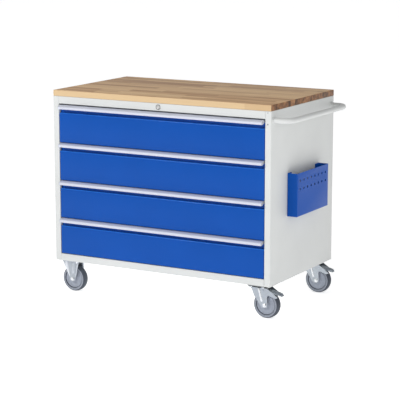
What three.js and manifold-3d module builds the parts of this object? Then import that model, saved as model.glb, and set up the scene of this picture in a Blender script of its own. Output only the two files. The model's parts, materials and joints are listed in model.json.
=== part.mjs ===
// Mobile workbench with drawers: a sheet-steel cabinet on four casters, a beech worktop, four
// full-extension drawers with aluminium grip strips and a central lock, and on its right side
// a push handle and a perforated tool pocket.
//
// Millimetres. X runs to the right, Y to the back, Z up. The cabinet is modelled centred on
// X = 0 and Y = 0 with the floor at Z = 0, and the finished group is moved at the end so that
// its origin is the centre of the whole object's footprint, on the floor.

import * as THREE from 'three';
import { mergeVertices } from 'three/addons/utils/BufferGeometryUtils.js';
import Module from 'manifold-3d';

const wasm = await Module();
wasm.setup();

// Overall sizes
const CABINET_WIDTH = 1145;
const CABINET_DEPTH = 650;
const CABINET_HEIGHT = 787;
const CASTER_HEIGHT = 155;
const WORKTOP_THICKNESS = 28;
const SHEET = 1.5;
const BEND = 2.5;
const GAP = 0.3;

// Cabinet shell
const FLANGE_WIDTH = 30;
const FLANGE_RETURN = 15;
const TOP_RAIL_HEIGHT = 35;
const BASE_RAIL_HEIGHT = 33;
const RAIL_DEPTH = 25;
const POST_WIDTH = 40;
const POST_CENTRES = [-250, 230];

// Drawers
const DRAWER_COUNT = 4;
const DRAWER_PITCH = 180;
const TOP_DRAWER_GAP = 5.5;
const FRONT_GAP = 2.5;
const FRONT_SIDE_GAP = 2;
const FRONT_DEPTH = 18;
const LOWEST_FRONT_TRIM = 6.5;
const RECESS_HEIGHT = 37.5;
const PAN_HALF_WIDTH = 525;
const PAN_TOP = -32;
const PAN_BOTTOM = -168;
const PAN_BACK = 285;

// Drawer slides, one nest of three profiles on each side of a drawer
const SLIDE_CENTRE = -110;
const SLIDE_FRONT = -305;
const CABINET_RAIL = { web: 542.2, depth: 13.4, height: 46 };
const MIDDLE_RAIL = { web: 539, depth: 10, height: 36 };
const DRAWER_RAIL = { reach: 535.5, height: 26 };

// Grip strip
const GRIP_REACH = 19.5;
const GRIP_DROP = 18.5;
const GRIP_WALL = 1.8;
const GRIP_LEG = 12;

// Central lock. The radii step outwards: plug, bore of the housing, its barrel, the hole in
// the rail, and the collar in front of the rail.
const LOCK_HEIGHT = 924.5;
const LOCK_RADIUS = { plug: 8.4, bore: 8.8, barrel: 10.8, hole: 11.3, collar: 12 };
const LOCK_COLLAR_THICKNESS = 2.2;
const KEYWAY = { halfLength: 4.2, halfWidth: 0.9, depth: 5 };
const LOCK_CAM = { halfWidth: 5, below: 4, above: 13, thickness: 3 };
const LOCK_BAR = { front: -294.5, thickness: 3, width: 14, wallGap: 3.5, armHeight: 19, armEnd: -20 };
const LOCK_TOOTH = { tip: 541, height: 12 };
const LOCK_HOOK = { tip: 538.5, centre: -62, depth: 5, gap: 1 };

// Push handle and tool pocket, both on the right side panel
const HANDLE_RADIUS = 12.5;
const HANDLE_REACH = 90;
const HANDLE_HALF_SPAN = 300;
const HANDLE_CORNER = 48;
const HANDLE_BELOW_TOP = 42;
const POCKET_DEPTH = 50;
const POCKET_FRONT = -161;
const POCKET_BACK = 166;
const POCKET_BOTTOM = 449;
const POCKET_TOP = 646;
const POCKET_BACK_FLANGE = 40;
const POCKET_HOLE = 10;
const POCKET_HOLE_PITCH = 38;
const POCKET_HOLE_ROWS = [35, 73];
const POCKET_HOLE_COLUMNS = 8;

// Casters
const CASTER_INSET_X = 74;
const CASTER_INSET_Y = 55;
const WHEEL_RADIUS = 62.5;
const WHEEL_SEGMENTS = 40;
const WHEEL_HALF_WIDTH = 19;
const TREAD_HALF_WIDTH = 9;
const RIM_RADIUS = 44;
const HUB = { bore: 5, radius: 13, halfLength: 22 };
const AXLE = { radius: 4, head: 6.5, headHeight: 6, hole: 4.5 };
const CHEEK_INNER = 24.5;
const CHEEK_THICKNESS = 3;
const CHEEK_OUTER = CHEEK_INNER + CHEEK_THICKNESS;
const CHEEK_FOOT = { halfWidth: 14, below: 13, radius: 13 };
const FIXED_CHEEK_HALF_WIDTH = 19;
const FLARE = { x: 39, y: 45, bottom: 66 };
const PLATE_HALF = { x: 42.5, y: 52.5, corner: 6 };
const PLATE_THICKNESS = 4;
const PLATE_BOLTS = { x: 30, y: 40, radius: 4.5 };
const SWIVEL_TRAIL = 34;
const KINGPIN = { radius: 6, hole: 6.5, head: 9.5, headHeight: 5 };
const RACE = { bottomRadius: 28, topRadius: 34, chamfer: 3 };
const CROWN = { bottom: 139, top: 142, back: -36, front: 44, corner: 8 };
const FORK_GUARD = [[44, 112, 10], [86, 98, 8], [101, 104, 3], [73, 123, 20]];
const PEDAL_PIVOT = { x: 26, z: 132, radius: 3, hole: 3.4 };
const PEDAL = { thickness: 2.5, stemHalfWidth: 20, footHalfWidth: 23.5, tipHalfWidth: 11, reach: 90,
  drop: 17, corner: 5 };

// Places worked out from the sizes above
const HALF_WIDTH = CABINET_WIDTH / 2;
const HALF_DEPTH = CABINET_DEPTH / 2;
const CABINET_TOP = CASTER_HEIGHT + CABINET_HEIGHT;
const OPENING_HALF = HALF_WIDTH - FLANGE_WIDTH;
const RAIL_HALF_LENGTH = OPENING_HALF - GAP;
const FRONT_HALF_WIDTH = OPENING_HALF - FRONT_SIDE_GAP;
const PLATE_TOP = CASTER_HEIGHT - GAP;
const PLATE_BOTTOM = PLATE_TOP - PLATE_THICKNESS;
const drawerTop = (index) => CABINET_TOP - TOP_RAIL_HEIGHT - TOP_DRAWER_GAP - index * DRAWER_PITCH;

// Finishes
const finish = (color, roughness, metalness) =>
  new THREE.MeshStandardMaterial({ color, roughness, metalness });
const LIGHT_GREY = finish(0xd9dbd7, 0.5, 0);
const BLUE = finish(0x1f4fae, 0.45, 0);
const BEECH = finish(0xc9a06f, 0.55, 0);
const ALUMINIUM = finish(0xc9ccd4, 0.35, 0.9);
const ZINC = finish(0xb9c0c8, 0.4, 0.9);
const STEEL = finish(0x9a9da0, 0.35, 0.9);
const TREAD = finish(0x7c8086, 0.8, 0);
const RIM = finish(0x9a9fa8, 0.6, 0);

// ---------------------------------------------------------------------------------------------
// Shape helpers

// Turns a closed three.js geometry into a solid that can be joined and cut.
function toSolid(geometry) {
  const bare = geometry.clone();
  bare.deleteAttribute('normal');
  bare.deleteAttribute('uv');
  const merged = mergeVertices(bare, 1e-4);
  const vertProperties = new Float32Array(merged.attributes.position.array);
  const triVerts = new Uint32Array(merged.index.array);
  return new wasm.Manifold(new wasm.Mesh({ numProp: 3, vertProperties, triVerts }));
}

function toGeometry(solid) {
  const mesh = solid.getMesh();
  const geometry = new THREE.BufferGeometry();
  geometry.setAttribute('position', new THREE.BufferAttribute(mesh.vertProperties, 3));
  geometry.setIndex(new THREE.BufferAttribute(mesh.triVerts, 1));
  geometry.computeVertexNormals();
  return geometry;
}

function join(...geometries) {
  return toGeometry(geometries.map(toSolid).reduce((sum, solid) => sum.add(solid)));
}

function cut(body, ...tools) {
  return toGeometry(tools.map(toSolid).reduce((rest, tool) => rest.subtract(tool), toSolid(body)));
}

// A box from three pairs of limits, each pair in either order.
function block([x0, x1], [y0, y1], [z0, z1]) {
  const geometry = new THREE.BoxGeometry(Math.abs(x1 - x0), Math.abs(y1 - y0), Math.abs(z1 - z0));
  return geometry.translate((x0 + x1) / 2, (y0 + y1) / 2, (z0 + z1) / 2);
}

function hullOf(points) {
  return toGeometry(wasm.Manifold.hull(points));
}

// A closed outline through corners [u, v, radius]; a corner without a radius stays sharp.
function roundedShape(corners) {
  const shape = new THREE.Shape();
  corners.forEach(([u, v, radius = 0], index) => {
    const corner = new THREE.Vector2(u, v);
    const [beforeU, beforeV] = corners.at(index - 1);
    const [afterU, afterV] = corners[(index + 1) % corners.length];
    const toBefore = new THREE.Vector2(beforeU - u, beforeV - v).normalize();
    const toAfter = new THREE.Vector2(afterU - u, afterV - v).normalize();
    const reach = radius / Math.tan(Math.acos(toBefore.dot(toAfter)) / 2);
    const start = corner.clone().addScaledVector(toBefore, reach);
    if (index === 0) {
      shape.moveTo(start.x, start.y);
    } else {
      shape.lineTo(start.x, start.y);
    }
    if (radius > 0) {
      const end = corner.clone().addScaledVector(toAfter, reach);
      shape.quadraticCurveTo(u, v, end.x, end.y);
    }
  });
  return shape;
}

// The section of a bent sheet. The path [u, v, radius] follows one face of the sheet, and the
// metal lies on the left of the direction of travel. A bend's radius is that of its outside.
function foldedSheet(path, thickness = SHEET, bend = BEND) {
  const last = path.length - 1;
  const points = path.map(([u, v]) => new THREE.Vector2(u, v));
  const direction = (index) => points[index + 1].clone().sub(points[index]).normalize();
  const leftOf = (vector) => new THREE.Vector2(-vector.y, vector.x);
  const face = [];
  const back = [];
  points.forEach((point, index) => {
    const before = direction(Math.max(index - 1, 0));
    const after = direction(Math.min(index, last - 1));
    const mitre = leftOf(before).add(leftOf(after));
    const scale = thickness / (1 + leftOf(before).dot(leftOf(after)));
    const offset = point.clone().addScaledVector(mitre, scale);
    const isBend = index > 0 && index < last;
    const outside = isBend ? path[index][2] ?? bend : 0;
    const inside = isBend ? Math.max(outside - thickness, 0) : 0;
    const turnsLeft = before.cross(after) > 0;
    face.push([point.x, point.y, turnsLeft ? outside : inside]);
    back.unshift([offset.x, offset.y, turnsLeft ? inside : outside]);
  });
  return roundedShape([...face, ...back]);
}

// Mirrors a path in its first coordinate for the left side, keeping the metal on its left.
function onSide(side, path) {
  return side > 0 ? path : path.map(([u, ...rest]) => [-u, ...rest]).reverse();
}

const X_AXIS = new THREE.Vector3(1, 0, 0);
const Y_AXIS = new THREE.Vector3(0, 1, 0);
const Z_AXIS = new THREE.Vector3(0, 0, 1);

function extrude(shape, depth) {
  return new THREE.ExtrudeGeometry(shape, { depth, bevelEnabled: false, curveSegments: 3 });
}

// Extrudes a section drawn in Y and Z.
function alongX(shape, x0, x1) {
  const turn = new THREE.Matrix4().makeBasis(Y_AXIS, Z_AXIS, X_AXIS);
  return extrude(shape, x1 - x0).applyMatrix4(turn).translate(x0, 0, 0);
}

// Extrudes a section drawn in X and Z.
function alongY(shape, y0, y1) {
  const turn = new THREE.Matrix4().makeBasis(X_AXIS, Z_AXIS, Y_AXIS.clone().negate());
  return extrude(shape, y1 - y0).applyMatrix4(turn).translate(0, y1, 0);
}

// Extrudes a section drawn in X and Y.
function alongZ(shape, z0, z1) {
  return extrude(shape, z1 - z0).translate(0, 0, z0);
}

// Turns a closed profile [radius, distance along the axis] about Y. A flat facet, not an edge,
// is at the bottom.
function turned(profile, segments) {
  const points = profile.map(([radius, along]) => new THREE.Vector2(radius, along));
  return new THREE.LatheGeometry(points, segments, Math.PI / segments);
}

function upright(geometry) {
  return geometry.rotateX(Math.PI / 2);
}

// A plain round bar about Y, from one distance along the axis to another.
function roundBar(radius, from, to, segments = 16) {
  return turned([[0, from], [radius, from], [radius, to], [0, to]], segments);
}

function part(name, geometry, material) {
  const mesh = new THREE.Mesh(geometry, material);
  mesh.name = name;
  return mesh;
}

// ---------------------------------------------------------------------------------------------
// Cabinet

function worktop() {
  const edge = 2;
  const width = HALF_WIDTH - edge;
  const depth = HALF_DEPTH - edge;
  const outline = roundedShape([[-width, -depth], [width, -depth], [width, depth], [-width, depth]]);
  const board = new THREE.ExtrudeGeometry(outline, {
    depth: WORKTOP_THICKNESS - GAP - 2 * edge,
    bevelThickness: edge,
    bevelSize: edge,
    bevelSegments: 1,
  });
  return part('worktop', board.translate(0, 0, CABINET_TOP + GAP + edge), BEECH);
}

// A side wall with a flange folded round at the front and back, and the two channel posts
// welded inside it that carry the drawer slides.
function sidePanel(name, side) {
  const wall = foldedSheet(onSide(side, [
    [OPENING_HALF, -HALF_DEPTH + FLANGE_RETURN],
    [OPENING_HALF, -HALF_DEPTH],
    [HALF_WIDTH, -HALF_DEPTH],
    [HALF_WIDTH, HALF_DEPTH],
    [OPENING_HALF, HALF_DEPTH],
    [OPENING_HALF, HALF_DEPTH - FLANGE_RETURN],
  ]));
  const postFace = OPENING_HALF + GAP;
  const weld = HALF_WIDTH - SHEET / 2;
  const posts = POST_CENTRES.map((centre) => {
    const section = foldedSheet(onSide(side, [
      [weld, centre + POST_WIDTH / 2],
      [postFace, centre + POST_WIDTH / 2],
      [postFace, centre - POST_WIDTH / 2],
      [weld, centre - POST_WIDTH / 2],
    ]));
    return alongZ(section, CASTER_HEIGHT + 5, CABINET_TOP - 5);
  });
  return part(name, join(alongZ(wall, CASTER_HEIGHT, CABINET_TOP), ...posts), LIGHT_GREY);
}

// The floor of the cabinet, with a rail folded up along the front and the back. Four tabs close
// the side panels' flange channels from below.
function basePanel() {
  const railTop = CASTER_HEIGHT + BASE_RAIL_HEIGHT;
  const tray = foldedSheet([
    [-HALF_DEPTH + RAIL_DEPTH, railTop],
    [-HALF_DEPTH, railTop],
    [-HALF_DEPTH, CASTER_HEIGHT],
    [HALF_DEPTH, CASTER_HEIGHT],
    [HALF_DEPTH, railTop],
    [HALF_DEPTH - RAIL_DEPTH, railTop],
  ]);
  const thickness = [CASTER_HEIGHT, CASTER_HEIGHT + SHEET];
  const halfWidth = HALF_WIDTH - SHEET - GAP;
  const halfDepth = HALF_DEPTH - FLANGE_RETURN - GAP;
  const floor = block([-halfWidth, halfWidth], [-halfDepth, halfDepth], thickness);
  const tabs = [[-1, -1], [1, -1], [1, 1], [-1, 1]].map(([sideX, sideY]) => block(
    [sideX * (OPENING_HALF + SHEET + GAP), sideX * halfWidth],
    [sideY * (halfDepth - 1), sideY * (HALF_DEPTH - SHEET - GAP)],
    thickness,
  ));
  const rails = alongX(tray, -RAIL_HALF_LENGTH, RAIL_HALF_LENGTH);
  return part('base_panel', join(rails, floor, ...tabs), LIGHT_GREY);
}

function backPanel() {
  const bottom = CASTER_HEIGHT + BASE_RAIL_HEIGHT + GAP;
  const section = foldedSheet([
    [HALF_DEPTH - RAIL_DEPTH, bottom],
    [HALF_DEPTH, bottom],
    [HALF_DEPTH, CABINET_TOP],
    [HALF_DEPTH - RAIL_DEPTH, CABINET_TOP],
  ]);
  return part('back_panel', alongX(section, -RAIL_HALF_LENGTH, RAIL_HALF_LENGTH), LIGHT_GREY);
}

function frontTopRail() {
  const section = foldedSheet([
    [-HALF_DEPTH + RAIL_DEPTH, CABINET_TOP],
    [-HALF_DEPTH, CABINET_TOP],
    [-HALF_DEPTH, CABINET_TOP - TOP_RAIL_HEIGHT],
    [-HALF_DEPTH + RAIL_DEPTH, CABINET_TOP - TOP_RAIL_HEIGHT],
  ]);
  const channel = alongX(section, -RAIL_HALF_LENGTH, RAIL_HALF_LENGTH);
  const hole = roundBar(LOCK_RADIUS.hole, -HALF_DEPTH - 5, -HALF_DEPTH + 5, 24);
  return part('front_top_rail', cut(channel, hole.translate(0, 0, LOCK_HEIGHT)), LIGHT_GREY);
}

// A round tube that leaves the side panel near the front, runs along it and comes back in.
function pushHandle() {
  const wall = HALF_WIDTH + GAP;
  const outer = HALF_WIDTH + HANDLE_REACH - HANDLE_RADIUS;
  const height = CABINET_TOP - HANDLE_BELOW_TOP;
  const at = (x, y) => new THREE.Vector3(x, y, height);
  const bendStart = outer - HANDLE_CORNER;
  const bendEnd = HANDLE_HALF_SPAN - HANDLE_CORNER;
  const route = new THREE.CurvePath();
  route.add(new THREE.LineCurve3(at(wall, -HANDLE_HALF_SPAN), at(bendStart, -HANDLE_HALF_SPAN)));
  route.add(new THREE.QuadraticBezierCurve3(
    at(bendStart, -HANDLE_HALF_SPAN), at(outer, -HANDLE_HALF_SPAN), at(outer, -bendEnd)));
  route.add(new THREE.LineCurve3(at(outer, -bendEnd), at(outer, bendEnd)));
  route.add(new THREE.QuadraticBezierCurve3(
    at(outer, bendEnd), at(outer, HANDLE_HALF_SPAN), at(bendStart, HANDLE_HALF_SPAN)));
  route.add(new THREE.LineCurve3(at(bendStart, HANDLE_HALF_SPAN), at(wall, HANDLE_HALF_SPAN)));
  const section = new THREE.Shape().absarc(0, 0, HANDLE_RADIUS, 0, 2 * Math.PI);
  const tube = new THREE.ExtrudeGeometry(section, { steps: 44, curveSegments: 6, extrudePath: route });
  return part('push_handle', tube, LIGHT_GREY);
}

// A flat box hung on the side panel, open at the top and in the middle of its back, with two
// rows of square holes near the top of its face.
function toolPocket() {
  const inner = HALF_WIDTH + GAP;
  const outer = HALF_WIDTH + POCKET_DEPTH;
  const shell = block([inner, outer], [POCKET_FRONT, POCKET_BACK], [POCKET_BOTTOM, POCKET_TOP]);
  const inside = block(
    [inner + SHEET, outer - SHEET],
    [POCKET_FRONT + SHEET, POCKET_BACK - SHEET],
    [POCKET_BOTTOM + SHEET, POCKET_TOP + 1],
  );
  const backWindow = block(
    [inner - 1, inner + SHEET + 1],
    [POCKET_FRONT + POCKET_BACK_FLANGE, POCKET_BACK - POCKET_BACK_FLANGE],
    [POCKET_BOTTOM + POCKET_BACK_FLANGE, POCKET_TOP + 1],
  );
  const middle = (POCKET_FRONT + POCKET_BACK) / 2;
  const half = POCKET_HOLE / 2;
  const holes = [];
  for (const row of POCKET_HOLE_ROWS) {
    for (let column = 0; column < POCKET_HOLE_COLUMNS; column += 1) {
      const y = middle + (column - (POCKET_HOLE_COLUMNS - 1) / 2) * POCKET_HOLE_PITCH;
      const z = POCKET_TOP - row;
      holes.push(block([outer - SHEET - 1, outer + 1], [y - half, y + half], [z - half, z + half]));
    }
  }
  return part('tool_pocket', cut(shell, inside, backWindow, ...holes), BLUE);
}

// ---------------------------------------------------------------------------------------------
// Central lock: a key plug turns in a housing in the top rail and shifts one bar, whose teeth
// catch a hook on every drawer.

function lockHousing() {
  const { bore, barrel, collar } = LOCK_RADIUS;
  const face = -HALF_DEPTH - GAP;
  const front = face - LOCK_COLLAR_THICKNESS;
  const back = -HALF_DEPTH + RAIL_DEPTH - 2;
  const profile = [[bore, front], [collar, front], [collar, face], [barrel, face], [barrel, back],
    [bore, back], [bore, front]];
  return part('lock_housing', turned(profile, 24).translate(0, 0, LOCK_HEIGHT), STEEL);
}

function lockPlug() {
  const { halfLength, halfWidth, depth } = KEYWAY;
  const front = -HALF_DEPTH - 3;
  const back = -HALF_DEPTH + RAIL_DEPTH;
  const barrel = cut(
    roundBar(LOCK_RADIUS.plug, front, back, 24),
    block([-halfLength, halfLength], [front - 1, front + depth], [-halfWidth, halfWidth]),
  );
  const cam = block(
    [-LOCK_CAM.halfWidth, LOCK_CAM.halfWidth],
    [back - 0.5, back + LOCK_CAM.thickness],
    [-LOCK_CAM.below, LOCK_CAM.above],
  );
  return part('lock_plug', join(barrel, cam).translate(0, 0, LOCK_HEIGHT), STEEL);
}

// An arm behind the plug, a flat strip down the right-hand side and one tooth for each drawer.
function lockBar() {
  const { front, thickness, width, wallGap, armHeight, armEnd } = LOCK_BAR;
  const depth = [front, front + thickness];
  const strip = [HALF_WIDTH - wallGap - width, HALF_WIDTH - wallGap];
  const reach = [LOCK_HEIGHT - armHeight / 2, LOCK_HEIGHT + armHeight / 2];
  const teeth = [];
  for (let index = 0; index < DRAWER_COUNT; index += 1) {
    const z = drawerTop(index) + LOCK_HOOK.centre;
    const height = [z - LOCK_TOOTH.height / 2, z + LOCK_TOOTH.height / 2];
    teeth.push(block([LOCK_TOOTH.tip, strip[0] + 1], depth, height));
  }
  const lowest = drawerTop(DRAWER_COUNT - 1) + LOCK_HOOK.centre - 20;
  const arm = block([armEnd, strip[1]], depth, reach);
  const downright = block(strip, depth, [lowest, LOCK_HEIGHT]);
  return part('lock_bar', join(arm, downright, ...teeth), ZINC);
}

// ---------------------------------------------------------------------------------------------
// Drawers. Heights are counted down from the top of the drawer's grip strip.

// One C-shaped slide profile, open towards the drawer.
function slideProfile(side, { web, depth, height }, length) {
  const section = foldedSheet(onSide(side, [
    [web - depth, SLIDE_CENTRE - height / 2],
    [web, SLIDE_CENTRE - height / 2],
    [web, SLIDE_CENTRE + height / 2],
    [web - depth, SLIDE_CENTRE + height / 2],
  ]));
  return alongY(section, SLIDE_FRONT, SLIDE_FRONT + length);
}

// The steel tray of a drawer, with the inner slide profile on each side and the lock's hook.
function drawerPan(name) {
  const front = -HALF_DEPTH + FRONT_DEPTH + GAP;
  const outside = block([-PAN_HALF_WIDTH, PAN_HALF_WIDTH], [front, PAN_BACK], [PAN_BOTTOM, PAN_TOP]);
  const inside = block(
    [-PAN_HALF_WIDTH + SHEET, PAN_HALF_WIDTH - SHEET],
    [front + SHEET, PAN_BACK - SHEET],
    [PAN_BOTTOM + SHEET, PAN_TOP + 1],
  );
  const rails = [-1, 1].map((side) => block(
    [side * (PAN_HALF_WIDTH - 0.5), side * DRAWER_RAIL.reach],
    [SLIDE_FRONT, PAN_BACK],
    [SLIDE_CENTRE - DRAWER_RAIL.height / 2, SLIDE_CENTRE + DRAWER_RAIL.height / 2],
  ));
  const hookFront = LOCK_BAR.front + LOCK_BAR.thickness + LOCK_HOOK.gap;
  const hook = block(
    [PAN_HALF_WIDTH - 0.5, LOCK_HOOK.tip],
    [hookFront, hookFront + LOCK_HOOK.depth],
    [LOCK_HOOK.centre - LOCK_TOOTH.height / 2, LOCK_HOOK.centre + LOCK_TOOTH.height / 2],
  );
  return part(name, join(cut(outside, inside), ...rails, hook), LIGHT_GREY);
}

// The painted front: a shallow tray open to the back, and above it the wall that stands
// behind the fingers and carries the grip strip.
function drawerFront(name, trim) {
  const face = -HALF_DEPTH;
  const back = face + FRONT_DEPTH;
  const bottom = -DRAWER_PITCH + FRONT_GAP + trim;
  const fold = -RECESS_HEIGHT;
  const width = [-FRONT_HALF_WIDTH, FRONT_HALF_WIDTH];
  const tray = cut(
    block(width, [face, back], [bottom, fold]),
    block(
      [-FRONT_HALF_WIDTH + SHEET, FRONT_HALF_WIDTH - SHEET],
      [face + SHEET, back + 1],
      [bottom + SHEET, fold - SHEET],
    ),
  );
  const recessWall = block(width, [back - SHEET, back], [fold - SHEET, -GRIP_WALL - GAP]);
  return part(name, join(tray, recessWall), BLUE);
}

// The aluminium profile: a web over the finger recess that curves forward and down into a lip.
function gripStrip(name) {
  const face = -HALF_DEPTH;
  const leg = face + FRONT_DEPTH - SHEET - GAP;
  const section = foldedSheet([
    [leg, -GRIP_LEG],
    [leg, 0, 2],
    [face - 3, 0, 16],
    [face - GRIP_REACH, -7, 12],
    [face - GRIP_REACH, -GRIP_DROP],
  ], GRIP_WALL);
  return part(name, alongX(section, -FRONT_HALF_WIDTH, FRONT_HALF_WIDTH), ALUMINIUM);
}

function drawer(index) {
  const number = index + 1;
  const isLowest = index === DRAWER_COUNT - 1;
  const railLength = PAN_BACK - SLIDE_FRONT;
  const group = new THREE.Group();
  group.position.z = drawerTop(index);
  group.add(drawerPan(`drawer_${number}_pan`));
  group.add(drawerFront(`drawer_${number}_front`, isLowest ? LOWEST_FRONT_TRIM : 0));
  group.add(gripStrip(`drawer_${number}_grip`));
  for (const [name, side] of [['left', -1], ['right', 1]]) {
    const cabinetRail = slideProfile(side, CABINET_RAIL, railLength);
    const middleRail = slideProfile(side, MIDDLE_RAIL, railLength);
    group.add(part(`cabinet_rail_${number}_${name}`, cabinetRail, ZINC));
    group.add(part(`middle_rail_${number}_${name}`, middleRail, ZINC));
  }
  return group;
}

// ---------------------------------------------------------------------------------------------
// Casters. The wheels roll along X. Each group stands on the floor under its mounting plate.

function tyre(name) {
  const tread = WHEEL_RADIUS / Math.cos(Math.PI / WHEEL_SEGMENTS);
  const shoulder = WHEEL_HALF_WIDTH - 4;
  const half = [[RIM_RADIUS + GAP, shoulder], [RIM_RADIUS + 4, WHEEL_HALF_WIDTH],
    [WHEEL_RADIUS - 6.5, WHEEL_HALF_WIDTH], [tread - 1.8, shoulder], [tread, TREAD_HALF_WIDTH]];
  const mirrored = half.map(([radius, along]) => [radius, -along]);
  const profile = [...mirrored, ...half.reverse(), mirrored[0]];
  return part(name, turned(profile, WHEEL_SEGMENTS), TREAD);
}

// A hub and an outer ring joined by a thinner web.
function rim(name) {
  const half = [[HUB.bore, HUB.halfLength], [HUB.radius, HUB.halfLength], [HUB.radius + 2, 7],
    [RIM_RADIUS - 7, 5], [RIM_RADIUS - 5, 14], [RIM_RADIUS, 14]];
  const mirrored = half.map(([radius, along]) => [radius, -along]);
  const profile = [...mirrored, ...half.reverse(), mirrored[0]];
  return part(name, turned(profile, 20), RIM);
}

function axle(name) {
  const head = CHEEK_OUTER + GAP;
  const end = head + AXLE.headHeight;
  const profile = [[0, -end], [AXLE.head, -end], [AXLE.head, -head], [AXLE.radius, -head],
    [AXLE.radius, head], [AXLE.head, head], [AXLE.head, end], [0, end]];
  return part(name, turned(profile, 12), STEEL);
}

function wheelGroup(place, x) {
  const group = new THREE.Group();
  group.position.set(x, 0, WHEEL_RADIUS);
  group.add(tyre(`tyre_${place}`), rim(`rim_${place}`), axle(`axle_${place}`));
  return group;
}

function mountingPlate() {
  const { x, y, corner } = PLATE_HALF;
  const outline = roundedShape([[-x, -y, corner], [x, -y, corner], [x, y, corner], [-x, y, corner]]);
  const holes = [[-1, -1], [1, -1], [1, 1], [-1, 1]].map(([sideX, sideY]) => {
    const hole = upright(roundBar(PLATE_BOLTS.radius, PLATE_BOTTOM - 5, PLATE_TOP + 5, 12));
    return hole.translate(sideX * PLATE_BOLTS.x, sideY * PLATE_BOLTS.y, 0);
  });
  return cut(alongZ(outline, PLATE_BOTTOM, PLATE_TOP), ...holes);
}

// Two pressed cheeks, one on each side of the wheel.
function cheeks(outline) {
  return [
    alongY(roundedShape(outline), -CHEEK_OUTER, -CHEEK_INNER),
    alongY(roundedShape(outline), CHEEK_INNER, CHEEK_OUTER),
  ];
}

// The two lowest corners of a cheek, rounded about the axle at x.
function cheekFoot(x) {
  const { halfWidth, below, radius } = CHEEK_FOOT;
  const z = WHEEL_RADIUS - below;
  return [[x - halfWidth, z, radius], [x + halfWidth, z, radius]];
}

function axleHole(x) {
  return roundBar(AXLE.hole, -40, 40, 16).translate(x, 0, WHEEL_RADIUS);
}

// The flanges that stiffen a fixed cheek's edges. Each flares out from nothing near the axle to
// its full reach under the plate.
function cheekFlares(top) {
  const { x, y, bottom } = FLARE;
  const inset = CHEEK_THICKNESS * Math.SQRT1_2;
  const edge = FIXED_CHEEK_HALF_WIDTH - 1;
  const foot = CHEEK_FOOT.halfWidth - 1;
  return [[-1, -1], [1, -1], [1, 1], [-1, 1]].map(([sideX, sideY]) => {
    const corners = [[foot, CHEEK_INNER, bottom], [foot, CHEEK_OUTER, bottom], [edge, CHEEK_INNER, top],
      [edge, CHEEK_OUTER, top], [x, y - inset, top], [x - inset, y, top]];
    return hullOf(corners.map(([across, out, up]) => [sideX * across, sideY * out, up]));
  });
}

function fixedBracket(name) {
  const half = FIXED_CHEEK_HALF_WIDTH;
  const top = PLATE_BOTTOM + 0.5;
  const outline = [[-half, top], ...cheekFoot(0), [half, top]];
  const web = block([-half, half], [-CHEEK_OUTER, CHEEK_OUTER], [PLATE_BOTTOM - CHEEK_THICKNESS, top]);
  const bracket = join(mountingPlate(), web, ...cheeks(outline), ...cheekFlares(top));
  return part(name, cut(bracket, axleHole(0)), ZINC);
}

// The plate, ball race and kingpin that stay still on the cabinet.
function swivelPlate(name) {
  const race = CROWN.top + GAP;
  const head = CROWN.bottom - GAP;
  const top = PLATE_BOTTOM + 0.5;
  const { radius, head: headRadius, headHeight } = KINGPIN;
  const { bottomRadius, topRadius, chamfer } = RACE;
  const profile = [[0, head - headHeight], [headRadius, head - headHeight], [headRadius, head],
    [radius, head], [radius, race], [bottomRadius, race], [topRadius, race + chamfer],
    [topRadius, top], [0, top]];
  return part(name, join(mountingPlate(), upright(turned(profile, 16))), ZINC);
}

function swivelFork(name) {
  const { bottom, top, back, front, corner } = CROWN;
  const crownOutline = roundedShape([[back, -CHEEK_OUTER, corner], [front, -CHEEK_OUTER, corner],
    [front, CHEEK_OUTER, corner], [back, CHEEK_OUTER, corner]]);
  const outline = [[back, top], [-20, 104, 20], ...cheekFoot(SWIVEL_TRAIL), ...FORK_GUARD,
    [front, top]];
  const fork = join(alongZ(crownOutline, bottom, top), ...cheeks(outline));
  const kingpinHole = upright(roundBar(KINGPIN.hole, bottom - 10, top + 10, 16));
  const pivotHole = roundBar(PEDAL_PIVOT.hole, -40, 40, 12).translate(PEDAL_PIVOT.x, 0, PEDAL_PIVOT.z);
  return part(name, cut(fork, kingpinHole, axleHole(SWIVEL_TRAIL), pivotHole), ZINC);
}

// A bent steel lever over the wheel, narrow between the cheeks and wide under the foot. It
// turns on a pin held in the fork's cheeks.
function brakePedal(name) {
  const { x, z, radius } = PEDAL_PIVOT;
  const { thickness, stemHalfWidth, footHalfWidth, tipHalfWidth, reach, drop, corner } = PEDAL;
  const tip = x + reach;
  const arm = foldedSheet([[x - 8, z - 1], [x + 12, z - 1, 6], [tip - 8, z - 1 - drop, 4],
    [tip - 4, z - 7 - drop]], thickness, 6);
  const stemEnd = x + 26;
  const footStart = x + 34;
  const footEnd = tip - 24;
  const half = [[x - 9, stemHalfWidth], [stemEnd, stemHalfWidth], [footStart, footHalfWidth, 6],
    [footEnd, footHalfWidth, 6], [tip, tipHalfWidth, corner]];
  const mirrored = half.map(([along, across, radius]) => [along, -across, radius]);
  const outline = roundedShape([...mirrored, ...half.reverse()]);
  const lever = toSolid(alongY(arm, -40, 40)).intersect(toSolid(alongZ(outline, z - 40, z + 20)));
  const pin = roundBar(radius, -CHEEK_OUTER - 1, CHEEK_OUTER + 1, 12).translate(x, 0, z);
  return part(name, join(toGeometry(lever), pin), ZINC);
}

function fixedCaster(place) {
  const group = new THREE.Group();
  group.add(fixedBracket(`caster_bracket_${place}`), wheelGroup(place, 0));
  return group;
}

function swivelCaster(place) {
  const group = new THREE.Group();
  group.add(swivelPlate(`caster_plate_${place}`), swivelFork(`caster_fork_${place}`));
  group.add(brakePedal(`brake_pedal_${place}`), wheelGroup(place, SWIVEL_TRAIL));
  return group;
}

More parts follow.
